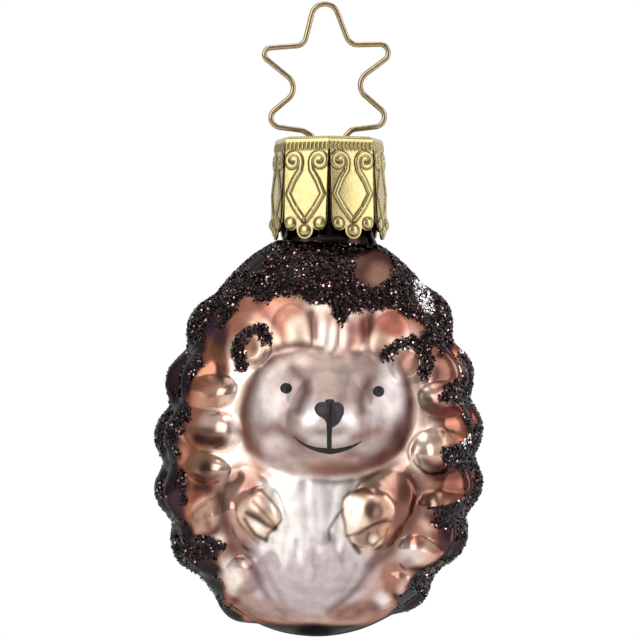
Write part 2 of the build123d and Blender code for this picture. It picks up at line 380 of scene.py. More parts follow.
def oval(place, middle, halves, tilt=0, soft=3):
    """Share of cover of a tilted oval."""
    across = place[0] - middle[0]
    down = place[1] - middle[1]
    turn = radians(tilt)
    along = across * cos(turn) + down * sin(turn)
    aside = -across * sin(turn) + down * cos(turn)
    reach = np.hypot(along / halves[0], aside / halves[1])
    return step_down((reach - 1) * min(halves), soft)


def line_distance(place, corners, closed=False):
    """Distance in pixels to a line through corners."""
    spots = np.stack(place, axis=1)
    nearest = np.full(len(spots), np.inf)
    pairs = list(zip(corners, corners[1:]))
    if closed:
        pairs.append((corners[-1], corners[0]))
    for start, end in pairs:
        start = np.array(start, dtype=float)
        along = np.array(end, dtype=float) - start
        share = np.clip((spots - start) @ along / (along @ along), 0, 1)
        gap = spots - start - share[:, None] * along
        nearest = np.minimum(nearest, np.hypot(gap[:, 0], gap[:, 1]))
    return nearest


def stroke(place, corners, width, soft=1.5):
    return step_down(line_distance(place, corners) - width / 2, soft)


def area(place, corners, soft=3):
    """Share of cover of a closed outline."""
    inside = np.zeros(len(place[0]), dtype=bool)
    for (x0, y0), (x1, y1) in zip(corners, corners[1:] + corners[:1]):
        crosses = (y0 > place[1]) != (y1 > place[1])
        at = x0 + (place[1] - y0) * (x1 - x0) / ((y1 - y0) or 1e-9)
        inside ^= crosses & (place[0] < at)
    distance = line_distance(place, corners, closed=True)
    return step_down(np.where(inside, -distance, distance), soft)


def ripples(points, size, seed):
    """Smooth random values from 0 to 1 over the skin, with lumps of a given size."""
    random = np.random.default_rng(seed)
    total = np.zeros(len(points))
    for _ in range(14):
        direction = random.normal(size=3)
        direction /= np.linalg.norm(direction)
        waves = points @ direction * (2 * pi / size) * random.uniform(0.6, 1.5)
        total += np.sin(waves + random.uniform(0, 2 * pi))
    return 0.5 + 0.5 * np.tanh(total / 3)


head_outline = [
    (239, 432), (240, 408), (246, 386), (257, 366), (272, 354), (296, 350), (326, 354), (352, 351),
    (378, 350), (398, 358), (409, 376), (414, 402), (413, 428), (404, 450), (386, 464), (358, 473),
    (326, 476), (292, 472), (266, 463), (248, 450),
]
belly_outline = [
    (268, 466), (300, 474), (330, 477), (352, 474), (356, 482), (346, 494), (342, 514), (346, 536),
    (356, 550), (374, 558), (372, 572), (368, 582), (358, 600), (344, 612), (310, 616), (274, 612),
    (252, 596), (246, 560), (262, 520), (262, 490),
]
hood_outline = [
    (200, 330), (224, 330), (240, 300), (256, 297), (270, 301), (280, 293), (292, 291), (307, 298),
    (326, 308), (341, 321), (352, 316), (369, 312), (397, 312), (410, 316), (419, 323), (440, 352),
    (470, 330), (470, 230), (380, 200), (270, 200), (190, 240),
]
fringe_partings = [
    ([(256, 300), (266, 314), (280, 330), (284, 342)], 12), ([(312, 304), (314, 322), (312, 340)], 14),
    ([(338.4, 316), (337, 332), (334.6, 352)], 5), ([(364, 314), (368, 330), (362, 346)], 12),
]
left_crease = [(236, 476), (220, 492), (219, 512), (230, 534), (246, 554), (258, 576)]
right_crease = [(414, 474), (424, 490), (420, 506), (404, 534), (386, 556), (371, 566)]
ear_arches = [
    ([(241, 366), (238, 350), (243, 337), (252, 330), (261, 331), (266, 340)], 13),
    ([(386, 356), (398, 345), (411, 341), (421, 347)], 12), ([(418, 345), (428, 360), (425, 373)], 14),
    ([(420, 346), (432, 338), (452, 334)], 16),
]
mouth_line = [
    (293.8, 436.4), (301, 442.6), (311, 447.6), (321, 450.2), (330, 451.2), (339, 450.4), (348, 448),
    (355.5, 445), (362, 441),
]
left_paw = [
    (244, 499), (237, 508), (236, 515), (242, 524), (255, 537), (266, 542), (269, 533), (277, 528),
    (281, 518), (278, 508), (271, 499), (262, 490), (254, 494),
]
right_paw = [
    (359, 491), (348, 492), (342, 500), (341, 511), (345, 524), (348, 537), (356, 547), (370, 549),
    (381, 543), (386, 530), (392, 516), (392, 505), (384, 497), (372, 495),
]
# Outlines of the fingers: corners and width of each dark line
finger_lines = [
    ([(260.9, 489.6), (272.8, 502.6), (281, 513), (281.5, 520), (276, 527.6)], 1.9),
    ([(253.3, 501.5), (263, 511.3), (276, 526.6)], 2.8),
    ([(247, 513), (256, 518), (266, 524.5), (275, 529)], 5),
    ([(244.6, 519), (249, 526.5), (255.4, 534.6), (266.3, 540.7)], 3.4),
    ([(266.3, 540.7), (268.5, 533), (276, 528.7)], 2.4),
    ([(358, 491), (350, 492.4), (344, 498), (342, 506), (341.6, 512), (344.6, 522.2), (345.7, 533),
      (351, 543), (358, 549)], 2.4),
    ([(342, 510), (335, 519), (328.6, 530), (329.6, 540)], 2.6),
    ([(346.7, 536.3), (359.8, 533), (372.8, 525), (387, 519)], 2.4),
    ([(366.3, 527.6), (377, 523.3), (391, 521)], 2),
    ([(368.5, 533), (366.5, 541), (373, 546), (381, 538), (377, 531.4)], 1.8),
    ([(354, 546), (359, 552)], 5),
]


def fine_relief(points, place):
    """Millimetres that the fingers, lips, folds, creases and fur lines stand out of the skin."""
    across, down = place
    relief = -0.25 * stroke(place, head_outline + head_outline[:1], 10, 8)
    for line, width in fringe_partings:
        relief -= 0.1 * stroke(place, line, width, 9)
    relief -= 0.3 * stroke(place, left_crease, 9, 8) + 0.3 * stroke(place, right_crease, 9, 8)
    relief -= 0.1 * stroke(place, mouth_line, 4, 4)
    for line, width in finger_lines:
        relief -= 0.12 * stroke(place, line, width, 5)
    relief += 0.3 * area(place, left_paw, 5) + 0.3 * area(place, right_paw, 5)
    for line, width, _ in leg_folds:
        relief -= 0.16 * stroke(place, line, width, 5)
    fur = 0.5 + 0.5 * np.sin(across / 3.1 + 2 * np.sin(down / 19))
    relief += 0.1 * area(place, belly_outline, 10) * fur * step_down(down - 556, 16)
    relief += 0.16 * (ripples(points, 6, 3) - 0.5)
    return relief


def skin(azimuth, row_angle):
    """The glass's outer skin in the row frame, with each point's share of nub height."""
    base, outward = egg(azimuth, row_angle)
    pointed = dome(nearest_distance(base, spine_centres()) / spine_half_width, spine_power)
    swollen = leaned(base + outward * (spine_swell * pointed - skin_inset)[:, None])
    bulbs = front_swell(leaned(base), bulb_forms)
    swollen[:, 1] -= front_swell(leaned(base), front_forms) + bulbs
    swollen[:, 0] += neck_side
    return swollen, np.maximum(pointed, bulbs / bulb_swell)


def ring(radius, level, azimuth):
    turn = np.radians(azimuth)
    levels = np.full(len(turn), level)
    return np.stack([neck_side + radius * np.sin(turn), -radius * np.cos(turn), levels], axis=1)


# How far across the copper reaches on each side, as down and across
left_border = [
    (318, 214), (340, 208), (363, 207), (380, 196), (393, 191), (419, 190), (434, 185), (465, 180),
    (486, 194), (515, 185), (532, 190), (538, 212), (545, 227), (552, 224), (560, 217), (575, 222),
    (601, 226), (616, 244),
]
right_border = [
    (320, 452), (350, 458), (380, 455), (386, 438), (400, 438), (408, 462), (440, 463), (448, 440),
    (466, 442), (472, 462), (500, 460), (508, 428), (524, 430), (532, 446), (550, 445), (562, 430),
    (578, 408), (596, 400), (616, 386),
]

# Colours of the lacquers and paints, and of painted highlights, shade and reflections
dark_brown = (46, 31, 36)
spine_top_highlight_brown = (120, 74, 60)
copper_tone = (174, 112, 90)
dull_copper = (176, 138, 128)
cream = (255, 232, 214)
# Painted highlight and painted shadow of the bulbous spines
bulb_top_highlight = (232, 196, 176)
bulb_shadow = (70, 38, 33)
champagne = (198, 184, 184)
pearl_white_highlight = (255, 247, 242)
crease_shade_brown = (88, 54, 48)
paw_gold = (244, 212, 186)
finger_groove_shade = (62, 45, 38)
face_grey = (172, 150, 144)
bottom_dark_reflection = (5, 3, 3)
bare_edge_brown = (58, 43, 51)
neck_lacquer_and_shade = (34, 24, 26)
glue_brown = (30, 20, 21)


class Coat:
    """Colours and satin share of the outer skin's points, painted layer over layer."""

    def __init__(self, points, normals):
        self.points = points
        self.place = picture_place(points)
        self.front = step_down(normals[:, 1] + 0.12, 0.1)
        self.colours = np.tile(linear(*dark_brown), (len(points), 1))
        self.satin = np.zeros(len(points))

    def blend(self, cover, tone):
        self.colours = self.colours + cover[:, None] * (linear(*tone) - self.colours)

    def smooth(self, cover):
        self.satin = np.maximum(self.satin, cover)

    def spots(self, table, strength, soft, limit):
        for middle, halves, tilt, tone in table:
            self.blend(strength * oval(self.place, middle, halves, tilt, soft) * limit, tone)

    def lines(self, table, strength, soft, limit):
        for line, width, tone in table:
            self.blend(strength * stroke(self.place, line, width, soft) * limit, tone)


def copper_border(coat):
    """Pixels that a point lies past the copper's border, and the copper's share of cover."""
    across, down = coat.place
    left_edge = np.interp(down, *zip(*left_border))
    right_edge = np.interp(down, *zip(*right_border))
    beyond = np.maximum(left_edge - across, across - right_edge)
    return beyond, step_down(beyond - 3, 6) * step_down(down - 622, 6) * coat.front


def paint_copper(coat, nubs, clouds, copper):
    """Dark brown lacquer round the sides and back, copper to cream between spines and face."""
    across, down = coat.place
    # Painted highlight: the spine tops round the sides and back are painted lighter warm brown, mottled
    tops = np.clip(nubs * 1.4 - 0.5, 0, 1) * (1 - coat.front)
    coat.blend(0.55 * tops * clouds, spine_top_highlight_brown)
    coat.blend(copper, copper_tone)
    reach = np.where(across < 320, 100, 112) - 16 * (clouds - 0.5)
    inner_distance = line_distance(coat.place, [(322, 400), (314, 530)])
    coat.blend(step_down(inner_distance - reach, 12) * copper, cream)
    coat.blend(0.85 * step_down(556 - down, 26) * copper, dull_copper)


def paint_bulbs(coat, copper):
    """Painted highlights on the tops and painted shade under the bulbous spines, and painted reflections
    and shade beside them.
    """
    for form in bulb_forms:
        along_width, along_height = in_form(coat.points - np.array([neck_side, 0, 0]), form)
        reach = np.hypot(along_width, along_height)
        # Painted highlight on each bulb's top, then painted shade under it
        top = step_down(np.hypot(along_width, along_height - 0.22) - 0.62, 0.22)
        coat.blend(0.5 * top * copper, bulb_top_highlight)
        under = step_down(np.abs(reach - 0.56) - 0.2, 0.2) * step_down(along_height + 0.18, 0.2)
        coat.blend(0.9 * under * copper, bulb_shadow)
    coat.spots(side_spine_light_and_shade, 0.9, 4, copper)
    coat.lines(bulb_shade_outlines, 0.85, 1.6, coat.front)


def paint_belly(coat, fine):
    """Arms in copper with painted light and shade, the belly in champagne with a painted highlight on its
    upper part and painted shade in its creases and folds, and the paws in pale gold with painted
    reflections and painted shade in the finger grooves.
    """
    across, down = coat.place
    front = coat.front
    coat.spots(arms, 1.0, 9, front)
    coat.spots(arm_light_and_shade, 0.8, 7, front)
    belly = area(coat.place, belly_outline, 9) * front
    coat.blend(belly, champagne)
    # Upper belly painted pearl white up to a zigzag fur edge, partly a painted highlight
    zigzag = 14 * np.abs(((across - 282) / 9.5) % 2 - 1) + 9 * np.sin(across / 14) + 12 * (fine - 0.5)
    bright = belly * step_down(down - 540 - zigzag, 9) * step_down(across - 350, 12)
    coat.blend(bright, pearl_white_highlight)
    coat.lines(belly_tufts, 0.75, 3, belly)
    coat.lines(belly_streaks, 0.5, 4, front)
    coat.smooth(belly)
    # Painted shade in the creases beside the arms
    coat.lines([(left_crease, 8, crease_shade_brown), (right_crease, 8, crease_shade_brown)], 0.85, 9, front)
    coat.lines(leg_folds, 0.8, 5, front)
    coat.spots(leg_light_and_shade, 0.9, 4, front)
    for outline in (left_paw, right_paw):
        paw = area(coat.place, outline, 2.5) * front
        coat.blend(paw, paw_gold)
        coat.satin = np.maximum(coat.satin * (1 - paw), 0.75 * paw)
    coat.spots(paw_reflections_and_shade, 0.85, 3, front)
    # Dark lines in the finger grooves, a painted shade
    coat.lines([(line, width, finger_groove_shade) for line, width in finger_lines], 0.88, 2, front)


def paint_face(coat):
    """Satin face with painted shade along its rim, painted highlights and shade across it and a painted
    chin shadow, and the copper hollows of the ears.
    """
    front = coat.front
    # Painted chin shadow under the smile's right side
    coat.lines([([(314, 480), (335, 482), (358, 480), (396, 463)], 4, (96, 64, 54))], 0.9, 5, front)
    coat.smooth(0.85 * stroke(coat.place, head_outline + head_outline[:1], 20, 10) * front)
    coat.lines(face_surround_light_and_shade, 0.85, 9, front)
    face = area(coat.place, head_outline, 6) * front
    coat.blend(face, face_grey)
    coat.lines(face_rim_shade, 0.9, 12, face)
    coat.spots(face_light_and_shade, 0.95, 7, face)
    coat.lines(face_shade_streaks, 0.85, 7, face)
    coat.smooth(face)
    coat.spots(ear_hollows, 1.0, 4, front)


def spread_glitter(coat, normals, nubs, fine, clouds, beyond):
    """Share of glitter: the hood, the ears' arches, and patches on the outer spines and back."""
    across, down = coat.place
    front = coat.front
    lumps = ripples(coat.points, 9, 5)
    ragged = 9 * (fine - 0.5)
    hood = area((across, down + ragged), hood_outline, 3) * front
    outer = step_down(4 - beyond - ragged, 3) * front * step_down(318 - down, 10)
    back = (1 - front) * np.clip(nubs * 1.2 + 0.1 + 1.6 * (lumps - 0.5), 0, 1) * step_down(down - 590, 40)
    crown = (1 - front) * step_down(down - 300, 30)
    glitter = np.clip(np.maximum.reduce([hood, outer, back * 0.8, crown]), 0, 1)
    glitter = glitter * step_down(down - 612, 6)

    # The edge and some patches stay bare and glossy
    bald = step_down(-0.5 - normals[:, 1] - 0.5 * (clouds - 0.5), 0.12) * step_down(336 - down, 12) * front
    bald *= np.where(across < 320, 0.96, 0.75) * step_down(1 - beyond, 3)
    glitter = glitter * (1 - bald)
    coat.blend(bald, bare_edge_brown)
    for middle, halves, tilt, tone in bare_lacquer:
        bare = oval((across + 0.4 * ragged, down), middle, halves, tilt, 4) * front
        glitter = glitter * (1 - 0.95 * bare)
        coat.blend(bare, tone)
    coat.spots([((379, 276), (11, 12), 20, (192, 142, 122))], 1.0, 7, front)
    for line, width in ear_arches:
        glitter = np.maximum(glitter, stroke((across, down + 0.4 * ragged), line, width, 2) * front)

    # Near black round the neck's foot, clear of glitter: dark lacquer, and painted shade under the cap's
    # lobes
    level = coat.points[:, 2] - neck_foot
    coat.blend(step_down(-1.6 - level, 0.5), neck_lacquer_and_shade)
    glitter = glitter * step_down(level + 0.3, 0.2)
    coat.blend(glitter, glue_brown)
    coat.satin = coat.satin * (1 - glitter)
    return glitter


def paint_glass(points, normals, nubs):
    """Colours, satin share and glitter share of the points of the outer skin."""
    coat = Coat(points, normals)
    fine = ripples(points, 3.2, 6)
    clouds = ripples(points, 5.5, 9)
    beyond, copper = copper_border(coat)
    paint_copper(coat, nubs, clouds, copper)
    paint_bulbs(coat, copper)
    coat.spots(fringe_petal_tones_and_shade, 1.0, 7, coat.front)
    fringe = oval(coat.place, (322, 332), (92, 30), 0, 8) * coat.front
    coat.satin = np.maximum(0.14 * copper, 0.95 * fringe)
    coat.lines(fringe_shade_lines, 0.9, 4, coat.front)
    paint_belly(coat, fine)
    paint_face(coat)
    coat.colours *= (0.92 + 0.16 * fine)[:, None]

    # The lower edge is painted near black, a painted dark reflection
    foot = step_down(-0.24 - normals[:, 1], 0.06) * step_down(600 - coat.place[1], 8)
    foot = np.maximum(foot, oval(coat.place, (314, 634), (20, 10), 0, 4))
    coat.blend(foot, bottom_dark_reflection)
    coat.smooth(foot)
    glitter = spread_glitter(coat, normals, nubs, fine, clouds, beyond)
    return coat.colours, coat.satin, glitter


# Middle, halves, tilt and colour of each soft spot
# Painted shade, painted highlights and painted reflections on the spines at the sides, with some copper
# lacquer tones among them
side_spine_light_and_shade = [
    ((220, 338), (8, 20), 10, (70, 48, 58)), ((216, 353), (8, 8), 0, (134, 90, 60)),
    ((236, 446), (8, 22), 0, (255, 236, 220)), ((222, 373), (7, 11), 24, (96, 66, 52)),
    ((229, 384), (7, 6), 30, (104, 74, 58)), ((203, 384), (12, 6), -8, (140, 80, 62)),
    ((202, 362), (6, 18), 0, (150, 104, 70)), ((226, 400), (8, 8), 0, (226, 188, 166)),
    ((228, 418), (6, 8), 0, (196, 160, 146)), ((205, 402), (11, 7), 0, (196, 146, 124)),
    ((214, 420), (13, 9), 0, (226, 196, 184)), ((206, 430), (11, 2.5), 4, (84, 56, 48)),
    ((211, 440), (20, 7), 0, (52, 24, 20)), ((206, 453), (5, 7), 0, (120, 84, 62)),
    ((200, 462), (16, 9), 0, (156, 118, 96)), ((206, 470), (7, 9), 0, (50, 36, 32)),
    ((201, 488), (17, 6), 4, (48, 20, 17)), ((198, 498), (12, 6), 0, (128, 66, 50)),
    ((205, 510), (11, 12), 0, (250, 204, 176)), ((208, 524), (3.5, 8), -18, (118, 82, 70)),
    ((446, 364), (12, 18), 0, (112, 74, 64)), ((438, 376), (8, 10), 0, (100, 64, 55)),
    ((432, 408), (10, 8), 0, (66, 42, 36)), ((448, 413), (20, 8), -10, (96, 44, 40)),
    ((446, 396), (14, 5), -12, (150, 104, 88)), ((444, 436), (12, 3.5), -24, (124, 96, 80)),
    ((447, 475), (24, 8), 0, (48, 16, 16)), ((442, 490), (8, 5), 0, (112, 70, 54)),
    ((452, 500), (12, 10), 0, (128, 76, 64)), ((452, 487), (10, 7), 0, (100, 54, 46)),
    ((448, 430), (10, 5), -10, (110, 70, 58)), ((430, 500), (5, 13), 12, (104, 76, 68)),
    ((446, 536), (18, 8), 0, (92, 46, 42)), ((412, 512), (8, 30), 8, (104, 56, 46)),
    ((232, 552), (9, 12), -40, (128, 84, 70)), ((418, 536), (10, 12), 0, (162, 104, 88)),
]
# Arm lacquer; the right arm is painted darker than the left, a painted shade
arms = [((246, 506), (24, 40), -14, (196, 152, 138)), ((388, 506), (31, 42), 14, (156, 112, 100))]
# Fringe petals: copper and cream lacquer, partly painted highlights and painted shade
fringe_petal_tones_and_shade = [
    ((250, 314), (11, 14), 20, (190, 128, 108)), ((264, 338), (9, 20), -35, (236, 198, 172)),
    ((288, 318), (20, 23), -20, (186, 130, 110)), ((300, 330), (12, 14), 0, (252, 226, 204)),
    ((326, 322), (10, 12), -6, (206, 168, 154)), ((326, 338), (9, 15), -6, (255, 240, 230)),
    ((350, 336), (11, 18), 10, (198, 146, 132)), ((344, 338), (4, 14), 6, (236, 206, 196)),
    ((366, 326), (11, 17), 12, (116, 70, 60)), ((392, 324), (18, 16), 0, (176, 110, 94)),
    ((380, 344), (11, 9), 0, (222, 184, 160)),
]
# Painted shade and painted highlights on the arms
arm_light_and_shade = [
    ((401, 482), (13, 20), 0, (70, 42, 36)), ((380, 491), (10, 7), -20, (120, 84, 70)),
    ((396, 506), (10, 22), 10, (118, 76, 64)), ((386, 552), (14, 9), -30, (132, 92, 80)),
    ((238, 478), (24, 9), 10, (148, 116, 100)), ((262, 472), (14, 7), 20, (166, 120, 98)),
    ((253, 487), (13, 7), 30, (132, 92, 78)), ((272, 484), (14, 7), 52, (190, 140, 116)),
    ((404, 486), (16, 20), -20, (116, 74, 64)), ((372, 482), (24, 8), -8, (186, 150, 128)),
    ((352, 478), (14, 5), 0, (110, 84, 70)), ((420, 504), (6, 22), 14, (136, 90, 78)),
    ((226, 512), (8, 22), -12, (186, 146, 134)), ((250, 548), (9, 16), -40, (150, 112, 104)),
]
# Painted reflections, painted highlights and painted shade on the paws
paw_reflections_and_shade = [
    ((380, 516), (12, 17), 10, (150, 108, 88)), ((366, 537), (12, 10), 0, (150, 118, 102)),
    ((388, 508), (6, 14), 0, (226, 180, 160)), ((373, 510), (9.5, 9.5), 0, (70, 50, 42)),
    ((377, 514), (5, 5), 0, (132, 106, 92)), ((374, 540), (4.5, 4.5), 0, (255, 238, 206)),
    ((386, 530), (6, 5), -30, (220, 170, 136)), ((354, 512), (8, 17), 0, (255, 250, 242)),
    ((272, 503), (5, 11), -40, (255, 246, 238)), ((256, 500), (9, 8), 0, (206, 170, 152)),
    ((258, 517), (11, 4), 34, (116, 86, 68)), ((257, 526), (7, 4), 40, (255, 250, 240)),
]
# Painted highlights and painted shade on the legs and feet
leg_light_and_shade = [
    ((268, 608), (28, 9), 8, (172, 148, 143)), ((356, 611), (28, 9), -10, (160, 122, 112)),
    ((233, 578), (9, 19), -16, (255, 244, 232)), ((246, 590), (8, 10), 30, (182, 156, 146)),
    ((236, 600), (5, 4), 0, (120, 90, 76)), ((382, 600), (8, 9), 30, (236, 222, 216)),
    ((374, 606), (7, 5), 20, (128, 106, 100)), ((392, 574), (12, 14), 0, (160, 112, 98)),
    ((390, 588), (7, 6), 0, (150, 104, 92)), ((411, 556), (11, 9), 20, (224, 206, 198)),
    ((409, 562), (5, 4), 0, (160, 136, 128)), ((308, 574), (5, 6), 0, (222, 212, 212)),
]
# Painted highlights on cheeks and muzzle, and painted shade and shadows across the face, under the nose
# among them
face_light_and_shade = [
    ((325, 366), (46, 13), 0, (150, 134, 125)), ((290, 364), (16, 7), -12, (230, 208, 198)),
    ((362, 364), (18, 8), 6, (166, 146, 138)), ((330, 386), (13, 15), 0, (156, 140, 131)),
    ((270, 402), (16, 29), 6, (206, 194, 190)), ((272, 376), (10, 10), -30, (206, 190, 182)),
    ((391, 394), (11, 29), -4, (230, 220, 218)), ((374, 412), (10, 14), 0, (190, 178, 176)),
    ((290, 412), (9, 12), 0, (172, 154, 150)), ((263, 432), (8, 10), 0, (160, 134, 128)),
    ((330, 434), (26, 13), 0, (222, 208, 203)), ((312, 414), (9, 13), 0, (240, 230, 226)),
    ((348, 420), (10, 13), 0, (222, 213, 211)), ((275, 447), (12, 12), 20, (222, 206, 200)),
    ((330, 459), (32, 4.5), 0, (190, 162, 152)), ((333, 468), (38, 5), 0, (146, 104, 88)),
    ((286, 466), (16, 7), 14, (214, 196, 190)), ((382, 457), (15, 8), -20, (104, 64, 56)),
    ((368, 446), (10, 7), -20, (190, 170, 166)), ((398, 434), (8, 14), 20, (88, 60, 56)),
    ((321, 432), (7, 2.6), 0, (84, 68, 64)), ((338, 431.5), (6, 2.2), 0, (118, 98, 92)),
]
ear_hollows = [
    ((250, 347), (9, 14), 0, (124, 88, 68)), ((409, 361), (12, 12), 0, (166, 124, 108)),
    ((250, 357), (7, 5), 0, (206, 172, 144)),
]
# Glossy lacquer that the glitter leaves bare
bare_lacquer = [
    ((373, 267), (19, 21), 10, (106, 74, 67)), ((178, 370), (11, 24), 14, (58, 42, 52)),
    ((166, 458), (8, 22), 0, (54, 38, 46)), ((173, 498), (9, 18), -14, (56, 40, 48)),
    ((184, 530), (7, 15), -20, (58, 38, 44)), ((212, 326), (6, 14), 24, (72, 54, 72)),
    ((449, 543), (11, 14), 20, (70, 48, 48)), ((470, 482), (6, 14), 8, (100, 60, 58)),
    ((476, 410), (8, 13), 0, (110, 60, 56)), ((410, 602), (9, 10), -30, (60, 36, 34)),
    ((256, 262), (9, 12), 40, (62, 52, 60)), ((210, 566), (12, 9), 40, (44, 32, 30)),
    ((459, 366), (6, 9), -20, (150, 118, 110)),
]
# Places where most front glitter flakes are painted white, a painted highlight
flake_highlight_spots = [
    ((424, 297), (8, 22), -26), ((460, 348), (5, 8), -20), ((461, 368), (6, 10), -20),
    ((466, 438), (6, 15), -10),
]
# Corners, width and colour of each soft line
# Painted shade in the fringe's partings and along the brow
fringe_shade_lines = [
    ([(256, 300), (266, 314), (280, 330), (284, 344)], 6, (150, 98, 88)),
    ([(311, 314), (313, 324), (314, 336)], 11, (104, 68, 58)),
    ([(338.4, 314), (337, 334), (334.6, 350)], 2.6, (84, 56, 48)),
    ([(372, 312), (370, 326), (364, 342)], 5, (88, 48, 42)),
    ([(268, 353), (284, 346), (304, 345), (322, 349)], 8, (112, 82, 72)),
]
# Painted highlight beside the face's left edge and painted shade beside its right and lower left edges
face_surround_light_and_shade = [
    ([(404, 354), (416, 376), (422, 400), (424, 424)], 15, (70, 40, 34)),
    ([(234, 436), (232, 410), (238, 388), (248, 368)], 9, (255, 232, 216)),
    ([(418, 438), (410, 456), (396, 468)], 5, (226, 188, 172)),
    ([(246, 448), (256, 464), (268, 475)], 9, (134, 90, 80)),
]
# Painted shade beside the muzzle and along the cheek lines
face_shade_streaks = [
    ([(292, 368), (304, 380), (306, 392), (298, 410)], 8, (72, 46, 42)),
    ([(370, 380), (363, 390), (361, 400), (362, 411)], 8, (88, 58, 51)),
    ([(278, 427), (291, 436), (303, 442)], 7, (116, 74, 62)),
    ([(354, 438), (366, 434), (377, 430)], 7, (130, 94, 84)),
]
# Painted shade along the face's rim, darkest on the right, with a painted highlight under the chin's left
face_rim_shade = [
    (head_outline + head_outline[:1], 12, (120, 78, 68)),
    ([(400, 366), (408, 382), (411, 404), (408, 430), (398, 452)], 14, (78, 48, 47)),
    ([(404, 448), (386, 464), (358, 473), (330, 476)], 10, (108, 66, 54)),
    ([(243, 432), (249, 448), (257, 458)], 10, (112, 64, 54)),
    ([(268, 468), (284, 473), (302, 476)], 9, (216, 198, 190)),
    ([(241, 432), (243, 408), (249, 388)], 9, (118, 76, 66)),
]
# Painted shade along the bulbs' lower edges
bulb_shade_outlines = [
    ([(419, 442), (417, 456), (421, 468), (429, 475), (438, 479)], 3, (74, 42, 34)),
    ([(431, 492), (428, 500), (428, 508)], 2.4, (76, 46, 40)),
    ([(434, 493), (438, 502), (439, 508)], 2.4, (80, 48, 42)),
    ([(229, 422), (230, 432), (227, 440), (217, 445)], 4, (84, 50, 42)),
    ([(217, 364), (219, 376), (226, 386)], 3, (84, 56, 46)),
    ([(226, 372), (232, 382), (230, 388)], 3, (92, 62, 50)),
]
# Painted shade in the leg folds, with paler painted highlight lines beside them
leg_folds = [
    ([(219, 494), (223, 510), (227, 530), (232, 548)], 8, (98, 56, 46)),
    ([(240, 552), (252, 568), (262, 588), (272, 606), (284, 618)], 5, (122, 92, 90)),
    ([(378, 555), (369, 570), (357, 588), (344, 600), (330, 612)], 6, (108, 76, 74)),
    ([(262, 560), (272, 584), (284, 604)], 4, (164, 146, 144)),
    ([(356, 566), (350, 580), (342, 592)], 4, (164, 148, 148)),
    ([(262, 614), (272, 612), (282, 617)], 2.5, (122, 92, 86)),
    ([(340, 618), (350, 612), (362, 614)], 2.5, (130, 98, 90)),
]
belly_streaks = [
    ([(303, 484), (304, 508), (305, 530)], 8, (146, 136, 138)),
    ([(326, 482), (327, 506), (326, 540)], 9, (150, 140, 142)),
    ([(340, 506), (336, 522), (334, 545)], 5, (146, 134, 136)),
    ([(316, 566), (313, 580)], 2, (132, 120, 120)),
    ([(315, 500), (316, 520), (318, 534)], 4, (196, 186, 186)),
    ([(284, 486), (290, 500)], 4, (206, 190, 182)),
]
belly_tufts = [
    ([(286, 528), (283, 548), (284, 566)], 4, (224, 212, 210)),
    ([(306, 536), (304, 552), (303, 566)], 3, (220, 208, 208)),
    ([(296, 540), (295, 556)], 2.5, (158, 144, 146)),
    ([(322, 540), (324, 556), (322, 570)], 3, (216, 204, 204)),
    ([(332, 536), (336, 552), (342, 562)], 2.5, (160, 146, 148)),
    ([(314, 548), (313, 566)], 2.5, (160, 148, 150)),
    ([(346, 540), (342, 556), (343, 568)], 3, (168, 152, 152)),
]


def make_glass():
    """Hollow glass: outer skin and neck, rim, bore and inner skin in one closed mesh."""
    azimuth = np.concatenate([
        np.linspace(-front_turn, front_turn, front_columns, endpoint=False),
        np.linspace(front_turn, 360 - front_turn, back_columns, endpoint=False),
    ])
    columns = len(azimuth)
    row_angle = np.concatenate([
        np.linspace(foot_angle, foot_rows_end, foot_rows, endpoint=False),
        np.linspace(foot_rows_end, neck_angle, upper_rows),
    ])
    outer, nubs = skin(azimuth, row_angle)
    rows = len(row_angle)
    place = picture_place(outer)
    normals = normals_of(outer, grid_faces(rows, columns))
    facing = step_down(normals[:, 1] + 0.1, 0.1)
    outer += normals * (fine_relief(outer, place) * facing)[:, None]
    normals = normals_of(outer, grid_faces(rows, columns))
    colours, satin, glitter = paint_glass(outer, normals, nubs)

    points = [outer]
    for radius, level in (
        (neck_radius + 0.25, neck_foot - 0.15),
        (neck_radius + 0.05, neck_foot + 0.25),
        (neck_radius, neck_foot + 0.8),
        (neck_radius, neck_top - 0.2),
        (neck_radius - 0.1, neck_top - 0.03),
        (bore_radius + 0.1, neck_top),
        (bore_radius, neck_top - 0.15),
        (bore_radius, neck_foot - glass_wall),
    ):
        points.append(ring(radius, level, azimuth))
        rows += 1
    for angle in np.linspace(neck_angle - 1, foot_angle, inner_rows):
        inner, _ = egg(azimuth, [angle], glass_wall)
        inner = leaned(inner)
        inner[:, 0] += neck_side
        points.append(inner)
        rows += 1
    points = np.concatenate(points)
    faces = grid_faces(rows, columns)
    faces.append(list(range(columns))[::-1])
    faces.append([(rows - 1) * columns + column for column in range(columns)])
    extra = len(points) - len(outer)
    # The neck, its rim and bore and the inner skin are painted near black: dark lacquer, and painted shade
    # where the neck shows under the cap
    colours = np.concatenate([colours, np.tile(linear(24, 16, 16), (extra, 1))])
    satin = np.concatenate([satin, np.zeros(extra)])
    material = glass_material()
    glass = add_mesh("glass_skin", points, faces, "glass", material, ["glass_body"])
    add_colours(glass, "paint", np.column_stack([colours, np.ones(len(colours))]))
    add_values(glass, "satin", satin)
    return outer, normals, grid_faces(len(row_angle), columns), glitter


